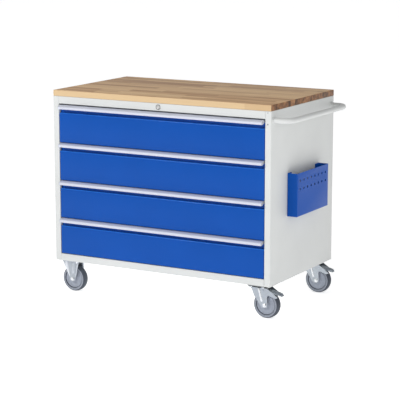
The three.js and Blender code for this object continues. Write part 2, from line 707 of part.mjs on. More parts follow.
function casters() {
  const group = new THREE.Group();
  const x = HALF_WIDTH - CASTER_INSET_X;
  const y = HALF_DEPTH - CASTER_INSET_Y;
  for (const [end, side] of [['front', -1], ['rear', 1]]) {
    const fixed = fixedCaster(`${end}_left`);
    fixed.position.set(-x, side * y, 0);
    const swivel = swivelCaster(`${end}_right`);
    swivel.position.set(x, side * y, 0);
    group.add(fixed, swivel);
  }
  return group;
}

// ---------------------------------------------------------------------------------------------
// Assembly

const bench = new THREE.Group();
bench.add(worktop(), basePanel(), backPanel(), frontTopRail(), pushHandle(), toolPocket());
bench.add(sidePanel('side_panel_left', -1), sidePanel('side_panel_right', 1));
bench.add(lockHousing(), lockPlug(), lockBar());
for (let index = 0; index < DRAWER_COUNT; index += 1) {
  bench.add(drawer(index));
}
bench.add(casters());

bench.updateMatrixWorld(true);
const extent = new THREE.Box3().setFromObject(bench, true);
const middle = extent.getCenter(new THREE.Vector3());
bench.position.set(-middle.x, -middle.y, -extent.min.z);

export default bench;
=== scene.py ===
"""Looks of the mobile workbench: fine sheet-metal, wood, aluminium and caster pieces built round
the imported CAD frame, with a pale studio floor, soft light and the camera.

Metres throughout, in the row frame. Every piece is placed from the box of a CAD node.
"""

import json
import math

import bmesh
import bpy
from mathutils import Matrix, Vector


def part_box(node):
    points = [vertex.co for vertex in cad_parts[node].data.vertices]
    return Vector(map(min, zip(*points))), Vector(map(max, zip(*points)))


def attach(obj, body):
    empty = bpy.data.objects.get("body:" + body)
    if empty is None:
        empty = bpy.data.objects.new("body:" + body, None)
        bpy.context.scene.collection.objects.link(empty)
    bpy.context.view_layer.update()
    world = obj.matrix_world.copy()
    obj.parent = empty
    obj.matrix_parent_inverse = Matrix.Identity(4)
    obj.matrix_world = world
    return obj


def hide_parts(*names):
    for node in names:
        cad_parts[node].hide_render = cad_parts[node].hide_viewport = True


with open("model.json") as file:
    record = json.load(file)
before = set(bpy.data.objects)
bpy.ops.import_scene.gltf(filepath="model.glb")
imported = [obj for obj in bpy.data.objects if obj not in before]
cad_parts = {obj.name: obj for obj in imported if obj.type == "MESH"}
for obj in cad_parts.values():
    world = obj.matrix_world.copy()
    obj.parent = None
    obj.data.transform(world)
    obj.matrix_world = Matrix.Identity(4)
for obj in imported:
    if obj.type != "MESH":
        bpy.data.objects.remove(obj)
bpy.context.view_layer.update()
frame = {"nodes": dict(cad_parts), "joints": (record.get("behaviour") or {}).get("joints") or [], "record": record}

RECORD = frame["record"]
NODES = frame["nodes"]
BODY_OF = {node: body for body, nodes in RECORD["behaviour"]["bodies"].items() for node in nodes}
JOINT = {joint["name"]: joint for joint in frame["joints"]}
DRAWERS = [1, 2, 3, 4]
SIDES = {"left": -1, "right": 1}
ENDS = ("front", "rear")
CORNERS = ((-1, -1), (1, -1), (1, 1), (-1, 1))

# Sheet metal, as in the CAD. FOLD is the radius of a bend at the middle of the sheet.
SHEET = 0.0015
BEND = 0.0025
HALF = SHEET / 2
FOLD = BEND - HALF
SHEET_EDGE = 0.0003

# Side panels: the lip folded back from each flange, and the slide posts
FLANGE_LIP = 0.015
POST_WIDTH = 0.040
POST_FROM_MIDDLE = (-0.250, 0.230)
POST_GAP = 0.0003
POST_END = 0.005

# Top rail, base panel and the plugs (distance below the panel's top, radius) in the right flange
TOP_RAIL_LIP = 0.010
LOCK_BORE = 0.0113
BASE_RAIL_LIP = 0.025
BASE_TAB_INSET = 0.0018
FLANGE_PLUGS = ((0.058, 0.0034), (0.007, 0.0022))
PLUG_FROM_EDGE = 0.013

# Drawer fronts and grip strips
FRONT_BELOW_GRIP = 0.0375
FRONT_FOLD = 0.0042
GRIP_WALL = 0.0018
GRIP_LIP = 0.0015
GRIP_INSET = 0.0045
CAP_WIDTH = 0.0016
CAP_GAP = 0.0001

# Drawer pans, measured from the drawer's middle
PAN_HALF_WIDTH = 0.525
PAN_HEM = 0.009
SLIDE_HALF_HEIGHT = 0.013
SLIDE_REACH = (0.5252, 0.5345)
SLIDE_WALL = 0.002

# Push handle and tool pocket
HANDLE_BEND = 0.048
POCKET_FLANGE = 0.040
POCKET_HOLE_ROWS = (0.035, 0.073)
POCKET_HOLE_PITCH = 0.038
POCKET_HOLES_PER_ROW = 8
POCKET_HOLE_HALF = 0.005

# Casters
PLATE_THICKNESS = 0.004
PLATE_CORNER = 0.007
BOLT_FROM_MIDDLE = (0.030, 0.040)
CHEEK_INNER = 0.0245
CHEEK_OUTER = 0.0275
CHEEK_FOOT = 0.014
FIXED_CHEEK_HALF = 0.019
SWIVEL_CROWN_FRONT = 0.044
FLARE_REACH = 0.030
FLARE_TURN = 1.15

# Half of each wheel profile, (radius, distance from the middle plane), from the inside out
TYRE_HALF = [(0.0443, 0.0150), (0.0452, 0.0176), (0.0470, 0.0187), (0.0492, 0.0190), (0.0497, 0.0183),
             (0.0508, 0.0183), (0.0513, 0.0190), (0.0543, 0.0189), (0.0564, 0.0180), (0.0586, 0.0162),
             (0.0605, 0.0134), (0.0618, 0.0096)]
TREAD_HALF_WIDTH = 0.0050
RIM_HALF = [(0.0050, 0.0220), (0.0118, 0.0220), (0.0130, 0.0212), (0.0136, 0.0150), (0.0150, 0.0138),
            (0.0185, 0.0134), (0.0192, 0.0126), (0.0200, 0.0134), (0.0330, 0.0140), (0.0345, 0.0146),
            (0.0352, 0.0138), (0.0362, 0.0138), (0.0369, 0.0148), (0.0425, 0.0152), (0.0438, 0.0145),
            (0.0440, 0.0120)]

# Beech staves
STAVE_WIDTH = 0.042
STAVE_LENGTH = 0.46

# Studio: lights are (name, position, target, size, power), angles in degrees
FLOOR_HALF = 40.0
LIGHTS = [
    ("key", (-2.2, -4.3, 3.3), (0, 0, 0.5), 0.9, 104.0),
    ("fill", (1.9, -1.2, 1.1), (0.55, -0.1, 0.5), 0.8, 6.5),
]
CAMERA_AZIMUTH = 29.33
CAMERA_DROP = 10.85
CAMERA_LENS = 142.73
CAMERA_POSITION = (3.60622, -6.42757, 1.86161)


# Outlines. A corner is (u, v) or (u, v, radius).

def filleted(corners, closed=False, steps=5):
    """[(point, unit tangent)] along straight runs joined by arcs."""
    count = len(corners)
    path = []
    for index, (u, v, *given) in enumerate(corners):
        point = Vector((u, v))
        radius = given[0] if given else 0.0
        before = corners[index - 1][:2] if closed or index else None
        after = corners[(index + 1) % count][:2] if closed or index < count - 1 else None
        incoming = (point - Vector(before)).normalized() if before else None
        outgoing = (Vector(after) - point).normalized() if after else None
        if incoming is None or outgoing is None or not radius:
            for tangent in (incoming, outgoing):
                if tangent is not None:
                    path.append((point, tangent))
            continue
        turn = incoming.angle_signed(outgoing)
        reach = radius * math.tan(abs(turn) / 2)
        start = point - incoming * reach
        side = -1 if turn > 0 else 1
        normal = Vector((-incoming.y, incoming.x)) * side
        centre = start + normal * radius
        for step in range(steps + 1):
            spin = Matrix.Rotation(-turn * step / steps, 2)
            path.append((centre + spin @ (start - centre), spin @ incoming))
    return path


def outline(corners, steps=5):
    """A closed outline through rounded corners, without doubled points."""
    points = [point for point, _ in filleted(corners, closed=True, steps=steps)]
    return without_doubles(points)


def without_doubles(points):
    kept = []
    for point in points:
        if not kept or (point - kept[-1]).length > 1e-7:
            kept.append(point)
    if (kept[0] - kept[-1]).length < 1e-7:
        kept.pop()
    return kept


def sheet_outline(corners, thickness=SHEET, steps=5):
    """The closed section of a bent sheet whose middle follows the corners."""
    path = filleted(corners, steps=steps)
    half = thickness / 2
    left = [point + Vector((-tangent.y, tangent.x)) * half for point, tangent in path]
    right = [point - Vector((-tangent.y, tangent.x)) * half for point, tangent in path]
    return without_doubles(left + right[::-1])


def circle(radius, segments, centre=(0, 0)):
    turns = [2 * math.pi * step / segments for step in range(segments)]
    return [Vector((centre[0] + radius * math.cos(a), centre[1] + radius * math.sin(a))) for a in turns]


# Mesh building. Every shape is added to one bmesh, which becomes one piece.

AXES = {
    "x": lambda u, v, along: (along, u, v),
    "y": lambda u, v, along: (u, along, v),
    "z": lambda u, v, along: (u, v, along),
}


def add_prism(bm, points, axis, near, far):
    """Extrudes a closed outline along an axis. Its (u, v) are the two other axes in order."""
    to_xyz = AXES[axis]
    ends = [[bm.verts.new(to_xyz(u, v, along)) for u, v in points] for along in (near, far)]
    faces = [bm.faces.new(ends[0]), bm.faces.new(ends[1][::-1])]
    count = len(points)
    for index in range(count):
        following = (index + 1) % count
        faces.append(bm.faces.new((ends[0][following], ends[0][index], ends[1][index], ends[1][following])))
    bmesh.ops.recalc_face_normals(bm, faces=faces)


def add_block(bm, low, high):
    made = bmesh.ops.create_cube(bm, size=1)["verts"]
    for vert in made:
        vert.co = Vector([low[k] if vert.co[k] < 0 else high[k] for k in range(3)])
    return made


def add_box(bm, low, high, radius=0.0, segments=2):
    """A block, with rounded edges if a radius is given."""
    made = add_block(bm, low, high)
    if radius:
        edges = list({edge for vert in made for edge in vert.link_edges})
        bmesh.ops.bevel(bm, geom=edges, offset=radius, segments=segments, profile=0.5, affect="EDGES")


def add_lathe(bm, profile, centre, axis="y", segments=48, closed=False):
    """Turns a profile of (radius, distance along the axis) about that axis through centre."""
    rings = []
    for radius, along in profile:
        ring = [(0, 0)] if radius < 1e-7 else circle(radius, segments)
        rings.append([bm.verts.new(Vector(centre) + Vector(AXES[axis](u, v, along))) for u, v in ring])
    pairs = list(zip(rings, rings[1:]))
    if closed:
        pairs.append((rings[-1], rings[0]))
    faces = []
    for first, second in pairs:
        for step in range(segments):
            following = (step + 1) % segments
            quad = [first[step % len(first)], first[following % len(first)],
                    second[following % len(second)], second[step % len(second)]]
            corners = list(dict.fromkeys(quad))
            if len(corners) > 2:
                faces.append(bm.faces.new(corners))
    bmesh.ops.recalc_face_normals(bm, faces=faces)


def add_tube(bm, path, radius, segments=28):
    """A solid round bar along a path of 3-D points that bends in one plane."""
    rings = []
    for index, point in enumerate(path):
        ahead = path[min(index + 1, len(path) - 1)]
        behind = path[max(index - 1, 0)]
        tangent = (ahead - behind).normalized()
        across = tangent.cross(Vector((0, 0, 1))).normalized()
        rings.append([bm.verts.new(point + across * u + Vector((0, 0, v)))
                      for u, v in circle(radius, segments)])
    faces = [bm.faces.new(rings[0]), bm.faces.new(rings[-1][::-1])]
    for first, second in zip(rings, rings[1:]):
        for step in range(segments):
            following = (step + 1) % segments
            faces.append(bm.faces.new((first[following], first[step], second[step], second[following])))
    bmesh.ops.recalc_face_normals(bm, faces=faces)


def add_shell(bm, low, high, open_side, radius=BEND):
    """A folded tray: a box with rounded outer folds, one side left open, and walls of sheet."""
    tray = bmesh.new()
    low, high = Vector(low), Vector(high)
    add_block(tray, low, high)
    direction = Vector(open_side)
    lid = [face for face in tray.faces if face.normal.dot(direction) > 0.9]
    bmesh.ops.delete(tray, geom=lid, context="FACES")
    folds = [edge for edge in tray.edges if len(edge.link_faces) == 2]
    bmesh.ops.bevel(tray, geom=folds, offset=radius, segments=4, profile=0.5, affect="EDGES",
                    clamp_overlap=True)
    bmesh.ops.recalc_face_normals(tray, faces=tray.faces)
    outward = sum((face.normal.dot(face.calc_center_median() - (low + high) / 2) * face.calc_area()
                   for face in tray.faces))
    if outward < 0:
        bmesh.ops.reverse_faces(tray, faces=tray.faces)
    bmesh.ops.solidify(tray, geom=tray.faces[:], thickness=SHEET)
    merge_in(bm, tray)


def merge_in(bm, other):
    """Moves another bmesh's geometry into this one."""
    spare = bpy.data.meshes.new("spare")
    other.to_mesh(spare)
    other.free()
    bm.from_mesh(spare)
    bpy.data.meshes.remove(spare)


def add_hex(bm, centre, axis, radius, near, far):
    """A hexagonal head or nut with chamfered corners, from near to far along the axis."""
    centre = Vector(centre)
    chamfer = 0.12 * radius
    outward = math.copysign(1, far - near)
    rings = []
    for scale, along in ((1.0, near), (1.0, far - outward * chamfer), (0.9, far)):
        rings.append([bm.verts.new(centre + Vector(AXES[axis](u * scale, v * scale, along)))
                      for u, v in circle(radius, 6)])
    faces = [bm.faces.new(rings[0]), bm.faces.new(rings[-1])]
    for first, second in zip(rings, rings[1:]):
        for step in range(6):
            following = (step + 1) % 6
            faces.append(bm.faces.new((first[step], first[following], second[following], second[step])))
    bmesh.ops.recalc_face_normals(bm, faces=faces)


def mesh_of(bm, name):
    mesh = bpy.data.meshes.new(name)
    bm.to_mesh(mesh)
    bm.free()
    return mesh


def smooth(mesh, angle=30):
    mesh.shade_smooth()
    mesh.set_sharp_from_angle(angle=math.radians(angle))


def soften_edges(piece, width, segments=2, angle=40):
    """Rounds every edge sharper than the angle, so that it catches the light."""
    bevel = piece.modifiers.new("soft edges", "BEVEL")
    bevel.width = width
    bevel.segments = segments
    bevel.limit_method = "ANGLE"
    bevel.angle_limit = math.radians(angle)
    bevel.harden_normals = True
    bevel.use_clamp_overlap = True


def new_piece(name, bm, material, body, edge=None, angle=30):
    mesh = mesh_of(bm, name)
    smooth(mesh, angle)
    mesh.materials.append(material)
    piece = bpy.data.objects.new(name, mesh)
    bpy.context.collection.objects.link(piece)
    if edge:
        soften_edges(piece, edge)
    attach(piece, body)
    return piece


def stand_in(node, bm, material, edge=None, angle=30):
    """A finer piece that takes the place of a CAD node."""
    piece = new_piece(f"{node}_fine", bm, material, BODY_OF[node], edge, angle)
    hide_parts(node)
    return piece


def cut_holes(piece, cutters):
    """Cuts the shapes built in the bmesh cutters out of a piece."""
    tool = bpy.data.objects.new("cutter", mesh_of(cutters, "cutter"))
    bpy.context.collection.objects.link(tool)
    boolean = piece.modifiers.new("holes", "BOOLEAN")
    boolean.operation = "DIFFERENCE"
    boolean.solver = "EXACT"
    boolean.object = tool
    others = [m for m in piece.modifiers if m != boolean]
    shown = [m.show_viewport for m in others]
    for modifier in others:
        modifier.show_viewport = False
    evaluated = piece.evaluated_get(bpy.context.evaluated_depsgraph_get())
    mesh = bpy.data.meshes.new_from_object(evaluated)
    piece.modifiers.remove(boolean)
    for modifier, was_shown in zip(others, shown):
        modifier.show_viewport = was_shown
    piece.data = mesh
    smooth(mesh)
    bpy.data.objects.remove(tool)


# Materials. Patterns use object coordinates, in metres, so they keep their real size.

def new_material(name, **constants):
    material = bpy.data.materials.new(name)
    material.use_nodes = True
    tree = material.node_tree
    shader = tree.nodes["Principled BSDF"]
    for socket, value in constants.items():
        shader.inputs[socket.replace("_", " ")].default_value = value
    return material, tree, shader


def add_node(tree, kind, inputs=None, **settings):
    node = tree.nodes.new("ShaderNode" + kind)
    for name, value in settings.items():
        setattr(node, name, value)
    for name, value in (inputs or {}).items():
        if isinstance(value, bpy.types.NodeSocket):
            tree.links.new(value, node.inputs[name])
        else:
            node.inputs[name].default_value = value
    return node


def math_node(tree, operation, first, second=0.0, third=0.0):
    return add_node(tree, "Math", {0: first, 1: second, 2: third}, operation=operation).outputs[0]


def place(tree, scale=(1, 1, 1)):
    """Object coordinates, scaled."""
    coordinates = add_node(tree, "TexCoord").outputs["Object"]
    return add_node(tree, "Mapping", {"Vector": coordinates, "Scale": scale}).outputs["Vector"]


def normal_part(tree, axis):
    """One component of the surface's normal, along an axis of the object."""
    normal = add_node(tree, "TexCoord").outputs["Normal"]
    return add_node(tree, "SeparateXYZ", {0: normal}).outputs[axis]


def turned_to(tree, axis, low, high):
    """0 where the surface faces across an axis, rising to 1 where it faces along it."""
    size = math_node(tree, "ABSOLUTE", normal_part(tree, axis))
    return remap(tree, size, low, high, 0.0, 1.0)


def noise(tree, vector, scale=1.0, detail=2.0, roughness=0.5, distortion=0.0):
    inputs = {"Vector": vector, "Scale": scale, "Detail": detail, "Roughness": roughness,
              "Distortion": distortion}
    return add_node(tree, "TexNoise", inputs).outputs["Fac"]


def remap(tree, value, low, high, to_low, to_high):
    inputs = {"Value": value, "From Min": low, "From Max": high, "To Min": to_low, "To Max": to_high}
    return add_node(tree, "MapRange", inputs).outputs["Result"]


def ramp(tree, factor, *stops):
    node = add_node(tree, "ValToRGB", {"Fac": factor})
    elements = node.color_ramp.elements
    while len(elements) < len(stops):
        elements.new(0.5)
    for element, (position, color) in zip(elements, stops):
        element.position = position
        element.color = (*color, 1)
    return node.outputs["Color"]


def mix(tree, factor, first, second):
    """first where factor is 0 and second where it is 1, each a colour or a socket."""
    node = add_node(tree, "Mix", data_type="RGBA")
    for socket, value in ((node.inputs[0], factor), (node.inputs[6], first), (node.inputs[7], second)):
        if isinstance(value, bpy.types.NodeSocket):
            tree.links.new(value, socket)
        else:
            socket.default_value = value if socket.type == "VALUE" else (*value, 1)
    return node.outputs[2]


def bump(tree, height, distance, strength):
    inputs = {"Height": height, "Distance": distance, "Strength": strength}
    return add_node(tree, "Bump", inputs).outputs["Normal"]


def shade(color, factor):
    return tuple(channel * factor for channel in color)


def powder_coat(name, color, roughness=0.42, specular=0.45, painted_fold_highlight=None):
    """Baked powder paint: a fine orange-peel skin with a faint unevenness in tone and gloss.

    The fold colour is a painted highlight: a lighter tone on surfaces that turn to face upwards, such as folds
    that roll over towards the top."""
    material, tree, shader = new_material(name, Specular_IOR_Level=specular)
    clouds = noise(tree, place(tree), 5.0, 3.0)
    speckle = noise(tree, place(tree), 900.0, 2.0)
    tone = math_node(tree, "MULTIPLY_ADD", speckle, 0.25, clouds)
    paint = ramp(tree, tone, (0.30, shade(color, 0.95)), (0.85, shade(color, 1.04)))
    if painted_fold_highlight:
        # Painted highlight: surfaces facing upwards take the lighter fold tone, as if lit from above.
        highlight_mask = remap(tree, normal_part(tree, "Z"), 0.15, 0.5, 0.0, 1.0)
        paint = mix(tree, highlight_mask, paint, painted_fold_highlight)
    tree.links.new(paint, shader.inputs["Base Color"])
    tree.links.new(remap(tree, speckle, 0.3, 0.7, roughness - 0.05, roughness + 0.07),
                   shader.inputs["Roughness"])
    peel = noise(tree, place(tree), 420.0, 2.0, 0.4)
    tree.links.new(bump(tree, peel, 0.00012, 0.35), shader.inputs["Normal"])
    return material


def drawn_metal(name, color, along, roughness, streak=0.06, metallic=1.0):
    """Metal with fine lines drawn along one axis, as on an extrusion or a rolled sheet."""
    material, tree, shader = new_material(name, Metallic=metallic)
    fine = tuple(4.0 if axis == along else 900.0 for axis in "xyz")
    coarse = tuple(1.0 if axis == along else 160.0 for axis in "xyz")
    lines = noise(tree, place(tree, fine), 1.0, 2.0)
    bands = noise(tree, place(tree, coarse), 1.0, 2.0)
    tone = math_node(tree, "MULTIPLY_ADD", lines, 0.5, math_node(tree, "MULTIPLY", bands, 0.5))
    lined = ramp(tree, tone, (0.3, shade(color, 1 - streak)), (0.7, shade(color, 1 + streak)))
    tree.links.new(lined, shader.inputs["Base Color"])
    tree.links.new(remap(tree, lines, 0.3, 0.7, roughness - 0.05, roughness + 0.08),
                   shader.inputs["Roughness"])
    tree.links.new(bump(tree, lines, 0.00002, 0.5), shader.inputs["Normal"])
    return material


def zinc_plate(name, color, roughness=0.32, painted_bend_highlight=None):
    """Zinc plating: a soft bluish cloud with fine rolling texture underneath.

    The bend colour is a painted highlight: a bright colour on surfaces that turn away from the Y axis towards X,
    such as flares and beads."""
    material, tree, shader = new_material(name, Metallic=1.0)
    clouds = noise(tree, place(tree), 45.0, 4.0, 0.6, 0.8)
    grain = noise(tree, place(tree), 1400.0, 2.0)
    tone = ramp(tree, clouds, (0.3, shade(color, 0.86)), (0.55, color), (0.75, shade(color, 1.1)))
    if painted_bend_highlight:
        # Painted highlight: surfaces turned towards X take the bright bend colour.
        tone = mix(tree, turned_to(tree, "X", 0.25, 0.6), tone, painted_bend_highlight)
    tree.links.new(tone, shader.inputs["Base Color"])
    cloudy = remap(tree, clouds, 0.3, 0.7, roughness - 0.1, roughness + 0.06)
    tree.links.new(math_node(tree, "MULTIPLY_ADD", grain, 0.12, cloudy), shader.inputs["Roughness"])
    tree.links.new(bump(tree, grain, 0.00003, 0.6), shader.inputs["Normal"])
    return material


def moulded(name, color, roughness, grain_size=900.0, rim_color=None):
    """Moulded rubber or plastic: a matt skin with fine spark texture and faint flow marks.

    rim_color is the colour of surfaces that face away from the Y axis, such as a tread."""
    material, tree, shader = new_material(name, Specular_IOR_Level=0.35)
    flow = noise(tree, place(tree), 28.0, 3.0, 0.5, 1.5)
    skin = noise(tree, place(tree), grain_size, 3.0)
    tone = ramp(tree, flow, (0.3, shade(color, 0.9)), (0.7, shade(color, 1.1)))
    if rim_color:
        # Surfaces facing away from the Y axis, the tread and shoulders, take the darker rim colour.
        tread_tone = ramp(tree, flow, (0.3, shade(rim_color, 0.85)), (0.7, shade(rim_color, 1.15)))
        tone = mix(tree, turned_to(tree, "Y", 0.86, 0.97), tread_tone, tone)
    tree.links.new(tone, shader.inputs["Base Color"])
    tree.links.new(remap(tree, skin, 0.3, 0.7, roughness - 0.08, roughness + 0.08),
                   shader.inputs["Roughness"])
    tree.links.new(bump(tree, skin, 0.00004, 0.6), shader.inputs["Normal"])
    return material


def beech_board(name):
    """Glued beech: lengthwise staves of random length and tone, with fibres, short ray flecks
    and rings on the end grain."""
    material, tree, shader = new_material(name, Specular_IOR_Level=0.35, Coat_Weight=0.06,
                                          Coat_Roughness=0.35)
    position = add_node(tree, "TexCoord").outputs["Object"]
    axes = add_node(tree, "SeparateXYZ", {0: position}).outputs
    row = math_node(tree, "FLOOR", math_node(tree, "DIVIDE", axes["Y"], STAVE_WIDTH))
    shift = add_node(tree, "TexWhiteNoise", {"W": row}, noise_dimensions="1D").outputs["Value"]
    shift = math_node(tree, "MULTIPLY", shift, 9)
    run = math_node(tree, "ADD", math_node(tree, "DIVIDE", axes["X"], STAVE_LENGTH), shift)
    block = add_node(tree, "CombineXYZ", {0: math_node(tree, "FLOOR", run), 1: row, 2: 3.0}).outputs[0]
    random = add_node(tree, "TexWhiteNoise", {"Vector": block}).outputs["Value"]
    second = add_node(tree, "TexWhiteNoise", {"W": random}, noise_dimensions="1D").outputs["Value"]

    own_place = add_node(tree, "CombineXYZ", {0: math_node(tree, "MULTIPLY", random, 7.0),
                                             1: math_node(tree, "MULTIPLY", second, 5.0),
                                             2: random}).outputs[0]
    moved = add_node(tree, "VectorMath", {0: position, 1: own_place}, operation="ADD").outputs[0]
    stretched = add_node(tree, "Mapping", {"Vector": moved, "Scale": (1.6, 26, 26)}).outputs[0]
    figure = noise(tree, stretched, 1.6, 4.0, 0.55, 0.5)
    fibre_place = add_node(tree, "Mapping", {"Vector": moved, "Scale": (14, 620, 620)}).outputs[0]
    fibres = noise(tree, fibre_place, 1.0, 3.0)
    fleck_place = add_node(tree, "Mapping", {"Vector": moved, "Scale": (170, 1500, 1500)}).outputs[0]
    cells = add_node(tree, "TexVoronoi", {"Vector": fleck_place, "Scale": 1.0}).outputs["Distance"]
    flecks = remap(tree, cells, 0.05, 0.30, 1.0, 0.0)

    pale, warm = (0.90, 0.62, 0.335), (0.50, 0.27, 0.125)
    tone = math_node(tree, "MULTIPLY_ADD", figure, 0.75, math_node(tree, "MULTIPLY", random, 0.50))
    long_grain = ramp(tree, tone, (0.30, pale), (0.60, (0.77, 0.495, 0.25)), (0.85, warm))
    long_grain = mix(tree, math_node(tree, "MULTIPLY", flecks, 0.22), long_grain, (0.30, 0.16, 0.07))
    long_grain = mix(tree, remap(tree, fibres, 0.35, 0.75, 0.0, 0.25), long_grain, (0.42, 0.25, 0.12))

    tone = math_node(tree, "MULTIPLY_ADD", figure, 0.35, math_node(tree, "MULTIPLY", second, 0.65))
    edge_grain = ramp(tree, tone, (0.20, (0.69, 0.50, 0.285)), (0.50, (0.63, 0.445, 0.25)),
                      (0.80, (0.50, 0.32, 0.165)))
    edge_grain = mix(tree, remap(tree, fibres, 0.35, 0.75, 0.0, 0.2), edge_grain, (0.58, 0.38, 0.20))

    middle = add_node(tree, "CombineXYZ", {0: 0.0, 1: math_node(tree, "MULTIPLY", second, 0.03),
                                          2: math_node(tree, "MULTIPLY", random, -0.04)}).outputs[0]
    flat = add_node(tree, "VectorMath", {0: position, 1: (0, 1, 1)}, operation="MULTIPLY").outputs[0]
    ring_place = add_node(tree, "VectorMath", {0: flat, 1: middle}, operation="ADD").outputs[0]
    radius = add_node(tree, "VectorMath", {0: ring_place}, operation="LENGTH").outputs["Value"]
    wobble = math_node(tree, "MULTIPLY_ADD", noise(tree, ring_place, 60.0), 0.006, radius)
    rings = math_node(tree, "SINE", math_node(tree, "MULTIPLY", wobble, 1900.0))
    pores = noise(tree, place(tree), 1600.0, 2.0)
    patches = math_node(tree, "MULTIPLY_ADD", noise(tree, place(tree), 48.0, 2.0), 1.3, -0.36)
    block_tone = math_node(tree, "MULTIPLY_ADD", second, 0.42, patches)
    porous = math_node(tree, "MULTIPLY_ADD", pores, 0.25, block_tone)
    end_tone = math_node(tree, "MULTIPLY_ADD", rings, 0.10, porous)
    end_grain = ramp(tree, end_tone, (0.12, (0.53, 0.27, 0.115)), (0.45, (0.30, 0.135, 0.052)),
                     (0.85, (0.075, 0.033, 0.015)))

    wood = mix(tree, turned_to(tree, "Y", 0.5, 0.8), long_grain, edge_grain)
    wood = mix(tree, turned_to(tree, "X", 0.6, 0.8), wood, end_grain)
    tree.links.new(wood, shader.inputs["Base Color"])
    tree.links.new(remap(tree, fibres, 0.3, 0.7, 0.42, 0.56), shader.inputs["Roughness"])
    relief = math_node(tree, "SUBTRACT", fibres, math_node(tree, "MULTIPLY", flecks, 0.5))
    tree.links.new(bump(tree, relief, 0.00006, 0.5), shader.inputs["Normal"])
    return material


GREY_PAINT = powder_coat("grey powder coat", (0.66, 0.675, 0.665))
# The blue coat's lighter fold tone is a painted highlight on its upward-facing folds.
BLUE_PAINT = powder_coat("blue powder coat", (0.003, 0.075, 0.385), 0.28, 0.13,
                         painted_fold_highlight=(0.02, 0.16, 0.62))
BEECH = beech_board("beech")
ALUMINIUM = drawn_metal("anodised aluminium", (0.62, 0.645, 0.74), "x", 0.58, 0.04, 0.3)
SLIDE_STEEL = drawn_metal("rolled zinc steel", (0.60, 0.63, 0.67), "y", 0.34)
# The zinc's bright bend colour is a painted highlight on the cheeks' flares and beads.
ZINC = zinc_plate("zinc plate", (0.43, 0.465, 0.505), 0.34, painted_bend_highlight=(0.86, 0.89, 0.93))
# Painted shade: a near-black zinc for the swivel plate and race, standing for the shade under the cabinet.
SHADED_PLATE_STEEL = zinc_plate("plate zinc", (0.15, 0.16, 0.165), 0.45)
PEDAL_STEEL = zinc_plate("pedal plate", (0.37, 0.41, 0.45), 0.40)
BOLT_STEEL = zinc_plate("bolt plate", (0.80, 0.82, 0.84), 0.22)
LOCK_METAL = zinc_plate("satin nickel", (0.34, 0.34, 0.34), 0.36)
PLUG_METAL = zinc_plate("polished nickel", (0.62, 0.62, 0.61), 0.28)
TREAD = moulded("tread rubber", (0.30, 0.325, 0.38), 0.62, rim_color=(0.06, 0.071, 0.092))
RIM_PLASTIC = moulded("rim plastic", (0.325, 0.355, 0.42), 0.50, 1200.0)
CAP_PLASTIC = moulded("end cap plastic", (0.46, 0.48, 0.54), 0.55)
DARK_PLASTIC = moulded("dark plastic", (0.20, 0.21, 0.23), 0.55)


# Cabinet

def make_worktop():
    bm = bmesh.new()
    low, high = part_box("worktop")
    add_box(bm, low, high, radius=0.0022, segments=4)
    stand_in("worktop", bm, BEECH)


def make_side_panel(side_name):
    """A wall with folded flanges and the two channel posts that carry the slides."""
    node = f"side_panel_{side_name}"
    low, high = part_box(node)
    side = SIDES[side_name]
    outer = (high.x if side > 0 else low.x) - side * HALF
    inner = (low.x if side > 0 else high.x) + side * HALF
    front, back = low.y + HALF, high.y - HALF
    lip = FLANGE_LIP - HALF
    bm = bmesh.new()
    wall = [(inner, front + lip), (inner, front, FOLD), (outer, front, FOLD), (outer, back, FOLD),
            (inner, back, FOLD), (inner, back - lip)]
    add_prism(bm, sheet_outline(wall), "z", low.z, high.z)
    middle = (low.y + high.y) / 2
    for offset in POST_FROM_MIDDLE:
        near, far = middle + offset - POST_WIDTH / 2, middle + offset + POST_WIDTH / 2
        face = inner + side * POST_GAP
        post = [(outer, near), (face, near, FOLD), (face, far, FOLD), (outer, far)]
        add_prism(bm, sheet_outline(post), "z", low.z + POST_END, high.z - POST_END)
    stand_in(node, bm, GREY_PAINT, edge=SHEET_EDGE)


def make_front_top_rail():
    low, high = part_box("front_top_rail")
    bm = bmesh.new()
    section = [(high.y, high.z - HALF), (low.y + HALF, high.z - HALF, FOLD),
               (low.y + HALF, low.z + HALF, FOLD), (high.y - HALF, low.z + HALF, FOLD),
               (high.y - HALF, low.z + TOP_RAIL_LIP)]
    add_prism(bm, sheet_outline(section), "x", low.x, high.x)
    rail = stand_in("front_top_rail", bm, GREY_PAINT, edge=SHEET_EDGE)
    lock_low, lock_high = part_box("lock_housing")
    centre = (lock_low + lock_high) / 2
    cutter = bmesh.new()
    near, far = low.y - 0.01, low.y + 0.01
    add_lathe(cutter, [(0, near), (LOCK_BORE, near), (LOCK_BORE, far), (0, far)], (centre.x, 0, centre.z))
    cut_holes(rail, cutter)


def make_base_panel():
    low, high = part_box("base_panel")
    left, right = (corner.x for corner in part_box("front_top_rail"))
    front, back = low.y + HALF, high.y - HALF
    section = [(low.y + BASE_RAIL_LIP, high.z - HALF), (front, high.z - HALF, FOLD),
               (front, low.z + HALF, FOLD), (back, low.z + HALF, FOLD), (back, high.z - HALF, FOLD),
               (high.y - BASE_RAIL_LIP, high.z - HALF)]
    bm = bmesh.new()
    add_prism(bm, sheet_outline(section), "x", left, right)
    for start, end in ((low.x, left + 0.001), (right - 0.001, high.x)):
        add_box(bm, (start, low.y + BASE_TAB_INSET, low.z), (end, high.y - BASE_TAB_INSET, low.z + SHEET))
    stand_in("base_panel", bm, GREY_PAINT, edge=SHEET_EDGE)


